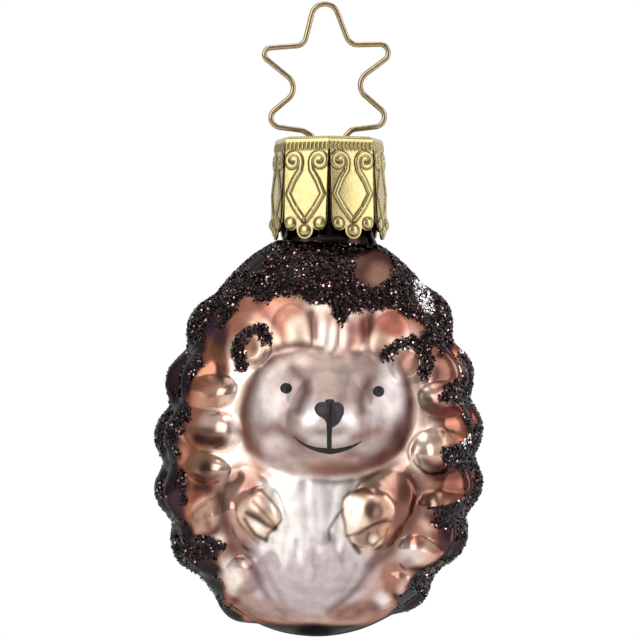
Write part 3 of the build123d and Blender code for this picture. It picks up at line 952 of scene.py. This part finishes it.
def make_glitter(points, normals, faces, glitter):
    """Coarse glitter: small flat flakes strewn over the skin where it was brushed with glue."""
    quads = np.array(faces)
    clumps = ripples(points[quads[:, 0]], 1.3, 12)
    share = glitter[quads].mean(axis=1) * (0.45 + clumps)
    sides = points[quads[:, 1]] - points[quads[:, 0]], points[quads[:, 3]] - points[quads[:, 0]]
    weight = np.linalg.norm(np.cross(*sides), axis=1) * np.where(share > 0.12, share, 0)
    count = flake_count
    chosen = rng.choice(len(quads), size=count, p=weight / weight.sum())
    corner = rng.random((count, 2))
    quad = quads[chosen]
    middle = points[quad[:, 0]] + corner[:, :1] * (points[quad[:, 1]] - points[quad[:, 0]])
    middle = middle + corner[:, 1:] * (points[quad[:, 3]] - points[quad[:, 0]])
    normal = normals[quad[:, 0]] + rng.normal(scale=flake_lean, size=(count, 3))
    normal /= np.linalg.norm(normal, axis=1, keepdims=True)
    side = np.cross(normal, rng.normal(size=(count, 3)))
    side /= np.linalg.norm(side, axis=1, keepdims=True)
    other = np.cross(normal, side)
    size = rng.uniform(*flake_sizes, size=(count, 1))
    middle = middle + normals[quad[:, 0]] * rng.uniform(*flake_lifts, size=(count, 1))
    corners = [middle + size * (side * cos(turn) + other * sin(turn)) for turn in flake_corner_turns]
    flakes = np.stack(corners, axis=1).reshape(-1, 3)
    flat = np.arange(4 * count).reshape(-1, 4).tolist()
    piece = add_mesh("glitter", flakes, flat, "glass", glitter_material())
    piece.data.shade_flat()
    tone = rng.random(count)
    place = picture_place(middle)
    facing = normals[quad[:, 0], 1] < 0
    # Painted highlight: flakes in these spots are painted white
    for spot, halves, tilt in flake_highlight_spots:
        bright = (rng.random(count) > 0.25) * facing
        tone = np.maximum(tone, 1.3 * oval(place, spot, halves, tilt, 3) * bright)
    colours = np.tile(linear(20, 14, 15), (count, 1))
    colours[tone > 0.6] = linear(48, 31, 31)
    colours[tone > 0.88] = linear(108, 72, 70)
    colours[tone > 0.965] = linear(230, 190, 184)
    colours[tone > 1.02] = linear(255, 253, 253)
    colours = np.repeat(colours, 4, axis=0)
    add_colours(piece, "flake", np.column_stack([colours, np.ones(len(colours))]))


# Paint on the face, laid on the skin where the camera sees it

def on_skin(tree, across, down, proud):
    """The spot on the glass that shows at a pixel, proud millimetres in front of the skin."""
    camera = Vector((camera_side, -camera_distance, camera_level))
    towards = Vector((across - picture_middle, 0, picture_middle - down)) / picture_scale
    ray = (towards + Vector((0, camera_distance, 0))).normalized()
    hit, normal, _, _ = tree.ray_cast(camera, ray)
    return hit + normal * proud


def make_patch(name, tree, middle, rim, proud, rings, material):
    """A thin domed patch of paint inside a closed outline of pixels."""
    rim = np.array(rim, dtype=float)
    points = [on_skin(tree, *middle, proud)]
    for step in range(1, rings + 1):
        share = step / rings
        for spot in rim:
            across, down = np.array(middle) + share * (spot - np.array(middle))
            points.append(on_skin(tree, across, down, proud * (1 - share**4) - 0.02))
    count = len(rim)
    faces = [(0, 1 + side, 1 + (side + 1) % count) for side in range(count)]
    faces += grid_faces(rings, count, start=1)
    return add_mesh(name, points, faces, "glass", material)


def make_stroke(name, tree, line, widths, proud):
    """A painted line with a width at each of its points."""
    line = np.array(line, dtype=float)
    direction = np.gradient(line, axis=0)
    direction /= np.linalg.norm(direction, axis=1, keepdims=True)
    aside = np.stack([-direction[:, 1], direction[:, 0]], axis=1)
    points = []
    across_shares = (-1, -0.6, 0, 0.6, 1)
    for spot, out, width in zip(line, aside, widths):
        for share in across_shares:
            across, down = spot + out * share * width / 2
            points.append(on_skin(tree, across, down, proud * (1 - share**2) - 0.015))
    faces = grid_faces(len(line), len(across_shares), closed=False)
    return add_mesh(name, points, faces, "glass", black_material())


def smooth_line(corners, steps):
    """A smooth line through corners, evenly stepped."""
    corners = np.array(corners, dtype=float)
    padded = np.concatenate([2 * corners[:1] - corners[1:2], corners, 2 * corners[-1:] - corners[-2:-1]])
    line = []
    for start in range(1, len(padded) - 2):
        a, b, c, d = padded[start - 1:start + 3]
        for step in range(steps):
            t = step / steps
            bend = (2 * a - 5 * b + 4 * c - d) * t**2 + (3 * b - a - 3 * c + d) * t**3
            line.append(0.5 * (2 * b + (c - a) * t + bend))
    line.append(corners[-1])
    return np.array(line)


def make_eye(name, tree, middle, radii):
    rim = []
    for step in range(40):
        turn = 2 * pi * step / 40
        rim.append((middle[0] + radii[0] * cos(turn), middle[1] + radii[1] * sin(turn)))
    make_patch(name, tree, middle, rim, 0.1, 7, black_material())


def make_face_paint(points, faces):
    """Eyes, mauve nose with a black bridge that runs down to the lips, and smile."""
    tree = BVHTree.FromPolygons([tuple(p) for p in points], faces)
    make_eye("left_eye", tree, (286.1, 388.2), (6.4, 5.8))
    make_eye("right_eye", tree, (378.6, 391.4), (6.2, 5.9))
    nose = [
        (313.4, 408.2), (314.5, 405.2), (318, 402), (324.8, 401), (329.3, 401.8), (333, 401),
        (339.5, 401.8), (343.6, 404.8), (345, 408.4), (344, 415), (340.7, 422.3), (336, 426.8),
        (331.6, 427.8), (327, 426), (324, 420), (317.5, 416), (314.5, 412.3),
    ]
    rim = smooth_line(nose + nose[:1], 4)[:-1]
    make_patch("nose", tree, (329.6, 411), rim, 0.12, 8, mauve_material())
    bridge = [(329.8, 400), (330, 408), (329.8, 418), (329.4, 428), (329.3, 440), (329.4, 451)]
    bridge = smooth_line(bridge, 5)
    share = np.linspace(0, 1, len(bridge))
    make_stroke("lip_line", tree, bridge, 9.4 - 4.2 * np.clip(2 * share - 0.4, 0, 1), 0.2)
    smile = smooth_line(mouth_line, 6)
    share = np.linspace(-1, 1, len(smile))
    make_stroke("smile", tree, smile, 1.0 + 6.2 * (1 - np.abs(share) ** 1.1), 0.06)


# Cap

def leaf_motif(hand):
    """Half of a leaf's band, in millimetres across and down: from the diamond's tip into the scroll."""
    line = [(hand * across, down) for across, down in diamond_points]
    for step in range(1, 26):
        turn = radians(200 - 20 * step)
        radius = scroll_radius - scroll_shrink * step
        line.append((hand * (scroll_side + radius * cos(turn)), scroll_level - radius * sin(turn)))
    return line


def dome_height(distance, radius, height):
    """A round dome, or a rounded ridge along a line."""
    return height * np.sqrt(np.clip(1 - (distance / radius) ** 2, 0, None))


def soft_line(distance, width):
    return np.exp(-((distance / width) ** 2))


def leaf_relief(u, v):
    """Height of a leaf's stamped relief and how deep in its lines a spot lies, which is painted as shade.
    """
    relief = np.zeros(len(u))
    shade = np.zeros(len(u))
    for hand in (-1, 1):
        distance = line_distance((u, v), leaf_motif(hand))
        relief += dome_height(distance, band_half_width, band_height)
        shade = np.maximum(shade, soft_line(distance - band_half_width - 0.06, 0.1))
        dot_distance = np.hypot(u - hand * (scroll_side + 0.02), v - scroll_level)
        relief += dome_height(dot_distance, dot_radius, dot_height)
    # Pearls in the lobes
    lobes = ((-lobe_spread, side_pearl_level), (0, centre_pearl_level), (lobe_spread, side_pearl_level))
    for side, level in lobes:
        distance = np.hypot(u - side, v - level)
        relief += dome_height(distance, pearl_radius, pearl_height)
        shade = np.maximum(shade, soft_line(distance - pearl_radius - 0.06, 0.12))
    # Fluted band between two lines under the rim
    band = step_down(np.abs(v - flute_level) - 0.4, 0.12)
    flute = np.cos(2 * pi * u / flute_pitch)
    relief += band * flute_height * flute
    shade = np.maximum(shade, band * np.clip(-flute, 0, 1) * 0.8)
    for level in (0.72, 1.72):
        shade = np.maximum(shade, 0.7 * soft_line(v - level, 0.07))
    return relief, shade


def leaf_bottom(u):
    """How far down a leaf reaches at u across: three round lobes."""
    side_level = cap_side_length - lobe_radius
    side_lobes = side_level + np.sqrt(np.clip(lobe_radius**2 - (np.abs(u) - lobe_spread) ** 2, 0, None))
    centre_level = cap_side_length + centre_lobe_drop - centre_lobe_radius
    centre = centre_level + np.sqrt(np.clip(centre_lobe_radius**2 - u**2, 0, None))
    centre = np.where(np.abs(u) < centre_lobe_radius, centre, 0)
    return np.maximum(side_lobes, centre)


def leaf_points(shares_across, shares_down, inset):
    """Points of one leaf in its own frame: across, outward from the axis and down, with its shade."""
    half_turn = pi / cap_leaves
    across, along = np.meshgrid(shares_across, shares_down)
    across = across.ravel()
    along = along.ravel()
    bottom = leaf_bottom(across * (cap_bottom_corner_radius * sin(half_turn) - 0.3))
    # The path runs in over the disc's edge, round the rim, and down the leaf
    disc = np.clip(-along, 0, 1)
    v = np.where(along > 0, along * bottom, 0)
    flare = (cap_bottom_corner_radius - cap_top_corner_radius) / cap_side_length
    radius = cap_top_corner_radius + flare * v
    slit = np.clip((v - slit_start) / (cap_side_length - slit_start), 0, None) * 0.4
    slit = np.where(v > slit_start, slit + 0.08, 0)
    turn = np.clip(v / cap_rim_radius, 0, 1)
    fall = 1 - np.sqrt(np.clip(1 - (1 - turn) ** 2, 0, None))
    outward = (radius * cos(half_turn) - cap_rim_radius * fall) * (1 - 0.2 * disc)
    u = across * (outward * tan(half_turn) - slit)
    bulge = leaf_bulge * np.sin(pi * np.clip(v / 11.5, 0, 1)) * (1 - across**2)
    relief, shade = leaf_relief(u, v)
    outward = outward + (bulge + relief if inset == 0 else bulge - inset) * (along >= 0)
    return u, outward, np.maximum(v, inset), shade


def make_cap():
    """Stamped cap: seven relief leaves that run over a rounded rim into the top disc."""
    shares_across = np.linspace(-1, 1, 61)
    shares_down = np.concatenate([
        [-1.0, -0.5],
        np.linspace(0, 0.05, 8, endpoint=False),
        np.linspace(0.05, 0.16, 16, endpoint=False),
        np.linspace(0.16, 1, 100),
    ])
    columns = len(shares_across)
    points = []
    shades = []
    faces = []
    for leaf in range(cap_leaves):
        azimuth = 2 * pi / cap_leaves * (leaf + 0.5)
        rows = []
        for shares, inset in ((shares_down, 0), (shares_down[::-1], cap_wall)):
            u, outward, v, shade = leaf_points(shares_across, shares, inset)
            x = neck_side + outward * sin(azimuth) + u * cos(azimuth)
            y = -outward * cos(azimuth) + u * sin(azimuth)
            rows.append(np.stack([x, y, cap_top - v], axis=1))
            # The inner skin is painted fully in shade
            shades.append(shade if inset == 0 else np.ones(len(u)))
        start = sum(len(block) for block in points)
        points.extend(rows)
        count = 2 * len(shares_down)
        faces.extend(grid_faces(count, columns, start=start, closed=False))
        # The slit's edges join the outer and inner skins
        half = len(shares_down)
        for row in range(half - 1):
            for column, flip in ((0, False), (columns - 1, True)):
                a = start + row * columns + column
                b = a + columns
                c = start + (count - 2 - row) * columns + column
                d = start + (count - 1 - row) * columns + column
                faces.append((a, b, c, d) if flip else (a, d, c, b))
    points = np.concatenate(points)
    cap = add_mesh("stamped_cap", points, faces, "cap", cap_material(), ["crown_cap"])
    add_values(cap, "recess_shade", np.concatenate(shades))
    make_disc()


def make_disc():
    """The flat middle of the cap's top, with the wire's two holes."""
    curve = bpy.data.curves.new("cap_disc", "CURVE")
    curve.dimensions = "2D"
    curve.fill_mode = "BOTH"
    curve.extrude = cap_wall / 2 * MILLIMETRE
    radius = (cap_top_corner_radius - cap_rim_radius / cos(pi / cap_leaves)) * 0.86
    corner_turns = 2 * pi * np.arange(cap_leaves) / cap_leaves
    hole_turns = pi * np.arange(24) / 12
    outlines = [[(neck_side + radius * sin(turn), -radius * cos(turn)) for turn in corner_turns]]
    for hand in (-1, 1):
        hole = wire_radius + 0.1
        middle = neck_side + hand * leg_spread
        outlines.append([(middle + hole * cos(turn), hole * sin(turn)) for turn in hole_turns])
    for outline in outlines:
        spline = curve.splines.new("POLY")
        spline.points.add(len(outline) - 1)
        for spot, (x, y) in zip(spline.points, outline):
            spot.co = (x * MILLIMETRE, y * MILLIMETRE, 0, 1)
        spline.use_cyclic_u = True
    maker = bpy.data.objects.new("cap_disc_maker", curve)
    mesh = bpy.data.meshes.new_from_object(maker)
    bpy.data.objects.remove(maker)
    level = (cap_top - cap_wall / 2 - 0.01) * MILLIMETRE
    for vertex in mesh.vertices:
        vertex.co.z += level
    disc = placed("cap_disc", mesh)
    mesh.materials.append(cap_material())
    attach(disc, "cap")


# Wire

def rounded_path(corners, bends, step=0.12):
    """Points along a path whose corners are rounded by arcs."""
    corners = [np.array(corner, dtype=float) for corner in corners]
    path = [corners[0]]
    for before, corner, after, bend in zip(corners, corners[1:], corners[2:], bends):
        back = (before - corner) / np.linalg.norm(before - corner)
        ahead = (after - corner) / np.linalg.norm(after - corner)
        half = np.arccos(np.clip(back @ ahead, -1, 1)) / 2
        middle = corner + (back + ahead) / np.linalg.norm(back + ahead) * bend / np.sin(half)
        start = corner + back * bend / np.tan(half) - middle
        end = corner + ahead * bend / np.tan(half) - middle
        sweep = pi - 2 * half
        count = max(6, int(bend * sweep / step))
        for place in range(count + 1):
            share = place / count
            arm = sin((1 - share) * sweep) * start + sin(share * sweep) * end
            path.append(middle + arm / sin(sweep))
    path.append(corners[-1])
    return np.array(path)


def leg_corners(hand):
    splay = bore_radius - leg_clearance - wire_radius
    return [
        (hand * leg_spread, cap_top + leg_bend_radius / 2),
        (hand * leg_spread, cap_under - wire_travel - wire_radius),
        (hand * splay, cap_top - leg_length),
    ]


def make_wire():
    """Round wire along the star and its two legs, with cut ends."""
    star = [(side * star_half_width, height * star_drop) for side, height, _ in star_corner_shares]
    star_bends = [bend * star_half_width for _, _, bend in star_corner_shares]
    leg_bends = [leg_splay_bend_radius, leg_bend_radius]
    corners = [*reversed(leg_corners(-1)), *star, *leg_corners(1)]
    path = rounded_path(corners, [*leg_bends, *star_bends, *reversed(leg_bends)])
    length = np.concatenate([[0], np.cumsum(np.linalg.norm(np.diff(path, axis=0), axis=1))])
    even = np.arange(0, length[-1], 0.1)
    path = np.stack([np.interp(even, length, path[:, k]) for k in (0, 1)], axis=1)
    direction = np.gradient(path, axis=0)
    direction /= np.linalg.norm(direction, axis=1, keepdims=True)
    aside = np.stack([-direction[:, 1], direction[:, 0]], axis=1)
    sides = 18
    turns = 2 * pi * np.arange(sides) / sides
    middle = np.stack([path[:, 0] + neck_side, np.zeros(len(path)), path[:, 1]], axis=1)
    out = np.stack([aside[:, 0], np.zeros(len(path)), aside[:, 1]], axis=1)
    depth = np.array([0.0, 1.0, 0.0])
    aim = out[:, None, :] * np.cos(turns)[None, :, None] + depth * np.sin(turns)[None, :, None]
    points = (middle[:, None, :] + (wire_radius - 0.003) * aim).reshape(-1, 3)
    faces = grid_faces(len(path), sides)
    faces.append(list(range(sides))[::-1])
    faces.append([len(points) - sides + side for side in range(sides)])
    wire = add_mesh("star_wire", points, faces, "hanger", wire_material(), ["star_hanger"])
    add_values(wire, "along", np.repeat(even[:len(path)], sides) / length[-1])


# Materials

def new_material(name):
    material = bpy.data.materials.new(name)
    material.use_nodes = True
    tree = material.node_tree
    return material, tree, tree.nodes["Principled BSDF"]


def noise(tree, scale, detail=3.0):
    node = tree.nodes.new("ShaderNodeTexNoise")
    node.inputs["Scale"].default_value = scale
    node.inputs["Detail"].default_value = detail
    place = tree.nodes.new("ShaderNodeTexCoord")
    tree.links.new(place.outputs["Object"], node.inputs["Vector"])
    return node


def ramp(tree, source, low, high, start=0.0, end=1.0):
    """Maps a value from start..end to low..high."""
    node = tree.nodes.new("ShaderNodeMapRange")
    node.inputs["From Min"].default_value = start
    node.inputs["From Max"].default_value = end
    node.inputs["To Min"].default_value = low
    node.inputs["To Max"].default_value = high
    tree.links.new(source, node.inputs["Value"])
    return node.outputs["Result"]


def attribute(tree, name):
    node = tree.nodes.new("ShaderNodeAttribute")
    node.attribute_name = name
    return node


def bump(tree, shader, height, strength, distance):
    node = tree.nodes.new("ShaderNodeBump")
    node.inputs["Strength"].default_value = strength
    node.inputs["Distance"].default_value = distance
    tree.links.new(height, node.inputs["Height"])
    tree.links.new(node.outputs["Normal"], shader.inputs["Normal"])


def mixed(tree, factor, first, second):
    """A colour between two colours or colour outputs."""
    node = tree.nodes.new("ShaderNodeMix")
    node.data_type = "RGBA"
    for socket, value in ((node.inputs[6], first), (node.inputs[7], second)):
        if isinstance(value, bpy.types.NodeSocket):
            tree.links.new(value, socket)
        else:
            socket.default_value = (*value, 1.0)
    tree.links.new(factor, node.inputs[0])
    return node.outputs[2]


def combined(tree, operation, first, second):
    """Two values joined by a sum, a product or the like."""
    node = tree.nodes.new("ShaderNodeMath")
    node.operation = operation
    tree.links.new(first, node.inputs[0])
    tree.links.new(second, node.inputs[1])
    return node.outputs[0]


@cache
def glass_material():
    """Silvered glass under coloured lacquer: gloss on the spines, satin pearl on face and belly."""
    material, tree, shader = new_material("lacquered_glass")
    paint = attribute(tree, "paint").outputs["Color"]
    satin = attribute(tree, "satin").outputs["Fac"]
    cloud = noise(tree, 900, 4).outputs["Fac"]
    dimmer = mixed(tree, ramp(tree, cloud, 0.0, 0.22, 0.35, 0.75), paint, linear(80, 52, 47))
    tree.links.new(dimmer, shader.inputs["Base Color"])
    tree.links.new(dimmer, shader.inputs["Specular Tint"])
    shader.inputs["Metallic"].default_value = 0.95
    grain = noise(tree, 5200, 2).outputs["Fac"]
    rough = combined(tree, "ADD", ramp(tree, satin, 0.19, 0.46), ramp(tree, grain, -0.03, 0.05))
    tree.links.new(rough, shader.inputs["Roughness"])
    tree.links.new(ramp(tree, satin, 0.2, 0.03), shader.inputs["Coat Weight"])
    shader.inputs["Coat Roughness"].default_value = 0.05
    bump(tree, shader, noise(tree, 420, 3).outputs["Fac"], 0.2, 0.0002)
    return material


@cache
def glitter_material():
    material, tree, shader = new_material("glitter_flakes")
    tree.links.new(attribute(tree, "flake").outputs["Color"], shader.inputs["Base Color"])
    shader.inputs["Metallic"].default_value = 0.85
    tree.links.new(ramp(tree, noise(tree, 3000, 2).outputs["Fac"], 0.16, 0.34), shader.inputs["Roughness"])
    return material


def paint_material(name, dark, light):
    material, tree, shader = new_material(name)
    tone = mixed(tree, noise(tree, 1600, 3).outputs["Fac"], dark, light)
    tree.links.new(tone, shader.inputs["Base Color"])
    tree.links.new(ramp(tree, noise(tree, 2600, 2).outputs["Fac"], 0.3, 0.45), shader.inputs["Roughness"])
    shader.inputs["Specular IOR Level"].default_value = 0.25
    return material


@cache
def black_material():
    return paint_material("black_paint", linear(10, 8, 10), linear(30, 24, 28))


@cache
def mauve_material():
    return paint_material("mauve_paint", linear(34, 27, 32), linear(54, 44, 50))


@cache
def cap_material():
    material, tree, shader = new_material("stamped_gold_sheet")
    recess_shade = attribute(tree, "recess_shade").outputs["Fac"]
    wear = noise(tree, 1300, 3).outputs["Fac"]
    worn = mixed(tree, wear, linear(168, 153, 102), linear(190, 176, 128))
    # Darker gold in the stamped lines and all over the inside, a painted shade
    tone = mixed(tree, ramp(tree, recess_shade, 0.0, 0.9), worn, linear(70, 56, 24))
    tree.links.new(tone, shader.inputs["Base Color"])
    shader.inputs["Metallic"].default_value = 1.0
    tree.links.new(ramp(tree, noise(tree, 2400, 3).outputs["Fac"], 0.2, 0.36), shader.inputs["Roughness"])
    bump(tree, shader, noise(tree, 3000, 2).outputs["Fac"], 0.12, 0.0001)
    return material


@cache
def wire_material():
    material, tree, shader = new_material("drawn_gold_wire")
    drawn = noise(tree, 2200, 3).outputs["Fac"]
    tone = mixed(tree, drawn, linear(138, 120, 92), linear(184, 166, 134))
    tree.links.new(tone, shader.inputs["Base Color"])
    shader.inputs["Metallic"].default_value = 1.0
    tree.links.new(ramp(tree, drawn, 0.16, 0.32), shader.inputs["Roughness"])
    bump(tree, shader, drawn, 0.1, 0.0001)
    return material


# Scene

def add_camera():
    data = bpy.data.cameras.new("camera")
    data.sensor_width = 36.0
    data.lens = 36.0 * camera_distance * picture_scale / (2 * picture_middle)
    data.clip_start = 0.01
    data.clip_end = 20.0
    camera = placed("camera", data)
    camera.location = Vector((camera_side, -camera_distance, camera_level)) * MILLIMETRE
    camera.rotation_euler = (pi / 2, 0, 0)
    bpy.context.scene.camera = camera


def add_lamp(name, place, size, power, aim=(0.0, 0.0, -0.045)):
    data = bpy.data.lights.new(name, "AREA")
    data.shape = "RECTANGLE"
    data.size, data.size_y = size
    data.energy = power
    lamp = placed(name, data)
    lamp.location = place
    lamp.rotation_euler = (Vector(aim) - Vector(place)).to_track_quat("-Z", "Y").to_euler()


def ground_material(name, white_to_camera):
    """Pale ground. The backdrop is plain white to camera, gloss and glass; the floor keeps its shadow."""
    material, tree, shader = new_material(name)
    tone = mixed(tree, noise(tree, 4, 2).outputs["Fac"], (0.84, 0.84, 0.84), (0.88, 0.88, 0.88))
    tree.links.new(tone, shader.inputs["Base Color"])
    shader.inputs["Roughness"].default_value = 0.9
    if white_to_camera:
        path = tree.nodes.new("ShaderNodeLightPath")
        seen = path.outputs["Is Camera Ray"]
        for output in ("Is Glossy Ray", "Is Transmission Ray"):
            seen = combined(tree, "MAXIMUM", seen, path.outputs[output])
        white = tree.nodes.new("ShaderNodeEmission")
        choice = tree.nodes.new("ShaderNodeMixShader")
        tree.links.new(seen, choice.inputs[0])
        tree.links.new(shader.outputs[0], choice.inputs[1])
        tree.links.new(white.outputs[0], choice.inputs[2])
        tree.links.new(choice.outputs[0], tree.nodes["Material Output"].inputs["Surface"])
    return material


def add_stage(name, corners, material):
    mesh = bpy.data.meshes.new(name)
    mesh.from_pydata(corners, [], [(0, 1, 2, 3)])
    mesh.materials.append(material)
    piece = placed(name, mesh)


def add_ground():
    """A pale floor well below the hanging ornament, and a white backdrop well behind it."""
    reach = 3.0
    level = -0.15
    back = 0.6
    floor = [(-reach, -reach, level), (reach, -reach, level), (reach, reach, level), (-reach, reach, level)]
    add_stage("floor", floor, ground_material("pale_floor", False))
    backdrop = [(-0.5, back, level), (0.5, back, level), (0.5, back, 0.5), (-0.5, back, 0.5)]
    add_stage("backdrop", backdrop, ground_material("white_backdrop", True))


def add_world():
    """Soft studio light from all round, darker behind the camera and below."""
    world = bpy.data.worlds.new("studio")
    bpy.context.scene.world = world
    world.use_nodes = True
    tree = world.node_tree
    background = tree.nodes["Background"]
    coordinates = tree.nodes.new("ShaderNodeTexCoord")
    split = tree.nodes.new("ShaderNodeSeparateXYZ")
    tree.links.new(coordinates.outputs["Generated"], split.inputs[0])
    front_dark = ramp(tree, split.outputs["Y"], 0.28, 0.62, -1.0, 0.6)
    lower_dark = ramp(tree, split.outputs["Z"], 0.55, 1.1, -0.8, 0.7)
    strength = combined(tree, "MULTIPLY", front_dark, lower_dark)
    tree.links.new(strength, background.inputs["Strength"])
    background.inputs["Color"].default_value = (1, 1, 1, 1)


outer, normals, skin_faces, glitter_share = make_glass()
make_glitter(outer, normals, skin_faces, glitter_share)
make_face_paint(outer, skin_faces)
make_cap()
make_wire()

add_camera()
add_ground()
add_world()
add_lamp("key", (-0.45, -0.45, 0.28), (0.6, 0.7), 3.8)
add_lamp("fill", (0.55, -0.3, 0.1), (0.3, 0.8), 2.2)
add_lamp("top", (0.0, 0.05, 0.6), (0.5, 0.4), 1.8)
add_lamp("rim", (0.42, 0.2, 0.05), (0.08, 0.5), 0.5)

bpy.context.scene.view_settings.view_transform = "Standard"
